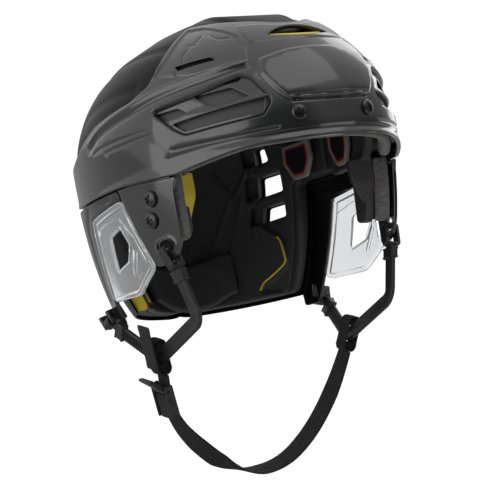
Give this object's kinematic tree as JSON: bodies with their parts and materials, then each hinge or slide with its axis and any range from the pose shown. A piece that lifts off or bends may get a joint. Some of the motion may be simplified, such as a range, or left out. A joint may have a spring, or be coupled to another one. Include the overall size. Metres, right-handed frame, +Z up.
{
  "type": "ice hockey helmet",
  "caption": "Two-piece ice hockey helmet with vents, foam and felt padding, clear ear guards and a webbing chin strap on hinged side loops with a lever buckle.",
  "frame": {"origin": "centre of the head, midway between the sides at the shell's widest level", "axes": "+Z up with the chin strap hanging straight down, the face towards -Y, +X towards the wearer's left"},
  "size_m": [0.2236, 0.2769, 0.335],
  "materials": {
    "shell_gloss": "glossy injection moulded shell",
    "shell_matte": "matte moulded shell",
    "black_gloss": "glossy",
    "black_matte": "satin",
    "foam_yellow": "closed cell foam",
    "liner_black": "moulded foam skin",
    "felt_grey": "brushed",
    "gel_grey": "satin",
    "clear_guard": "clear moulded plastic",
    "black_steel": "black coated steel",
    "bright_steel": "plated",
    "band_rubber": "satin",
    "webbing": "woven"
  },
  "bodies": {
    "helmet": {"front_shell": "shell_gloss", "side_vent_insert_right": "black_gloss", "side_vent_insert_left": "black_gloss", "impact_foam_front": "foam_yellow", "front_liner": "liner_black", "brow_pad": "felt_grey", "ear_panel_right": "shell_gloss", "ear_panel_left": "shell_gloss", "temple_felt_right": "felt_grey", "temple_felt_left": "felt_grey", "temple_foam_right": "foam_yellow", "temple_foam_left": "foam_yellow", "ear_guard_right": "clear_guard", "ear_guard_left": "clear_guard", "side_frame_right": "black_gloss", "side_frame_left": "black_gloss", "adjuster_guide_right": "black_matte", "adjuster_guide_left": "black_matte", "forehead_screws": "black_steel", "forehead_nuts": "bright_steel", "ear_screws": "black_steel", "ear_nuts": "bright_steel", "front_gel_pad_right": "gel_grey", "front_gel_pad_left": "gel_grey"},
    "rear_half": {"rear_shell": "shell_matte", "impact_foam_rear": "foam_yellow", "rear_liner": "liner_black", "crown_pad": "liner_black", "nape_pad": "liner_black", "rear_gel_pad_right": "gel_grey", "rear_gel_pad_left": "gel_grey"},
    "right_loop": {"strap_loop_right": "band_rubber", "front_strap_clip_right": "black_matte", "rear_strap_clip_right": "black_matte"},
    "left_loop": {"strap_loop_left": "band_rubber", "front_strap_clip_left": "black_matte", "rear_strap_clip_left": "black_matte"},
    "chin_strap": {"chin_strap": "webbing", "strap_ring_right": "webbing", "strap_ring_left": "webbing", "strap_tail": "webbing", "buckle_frame": "black_matte", "buckle_pin": "bright_steel"},
    "buckle_lever": {"buckle_lever": "black_matte"}
  },
  "joints": [
    {"name": "size_slide", "type": "slide", "parent": "helmet", "child": "rear_half", "axis": [0, 0.9472, -0.3206], "range_m": [0, 0.008]},
    {"name": "right_loop_swing", "type": "hinge", "parent": "helmet", "child": "right_loop", "pos_m": [-0.09469, -0.0693, -0.06138], "axis": [0, 0.8187, -0.5742], "range_deg": [-8, 8]},
    {"name": "left_loop_swing", "type": "hinge", "parent": "helmet", "child": "left_loop", "pos_m": [0.09469, -0.0693, -0.06138], "axis": [0, 0.8187, -0.5742], "range_deg": [-8, 8]},
    {"name": "chin_strap_swing", "type": "hinge", "parent": "right_loop", "child": "chin_strap", "pos_m": [-0.0834, -0.03281, -0.13893], "axis": [0, 0.8187, -0.5742], "range_deg": [-10, 10]},
    {"name": "lever_lift", "type": "hinge", "parent": "chin_strap", "child": "buckle_lever", "pos_m": [-0.08191, -0.03281, -0.16385], "axis": [0, 1, 0], "range_deg": [0, 20]}
  ],
  "couplings": [
    {"joint": "left_loop_swing", "follows": "right_loop_swing", "ratio": 1},
    {"joint": "chin_strap_swing", "follows": "right_loop_swing", "ratio": -1.134}
  ]
}
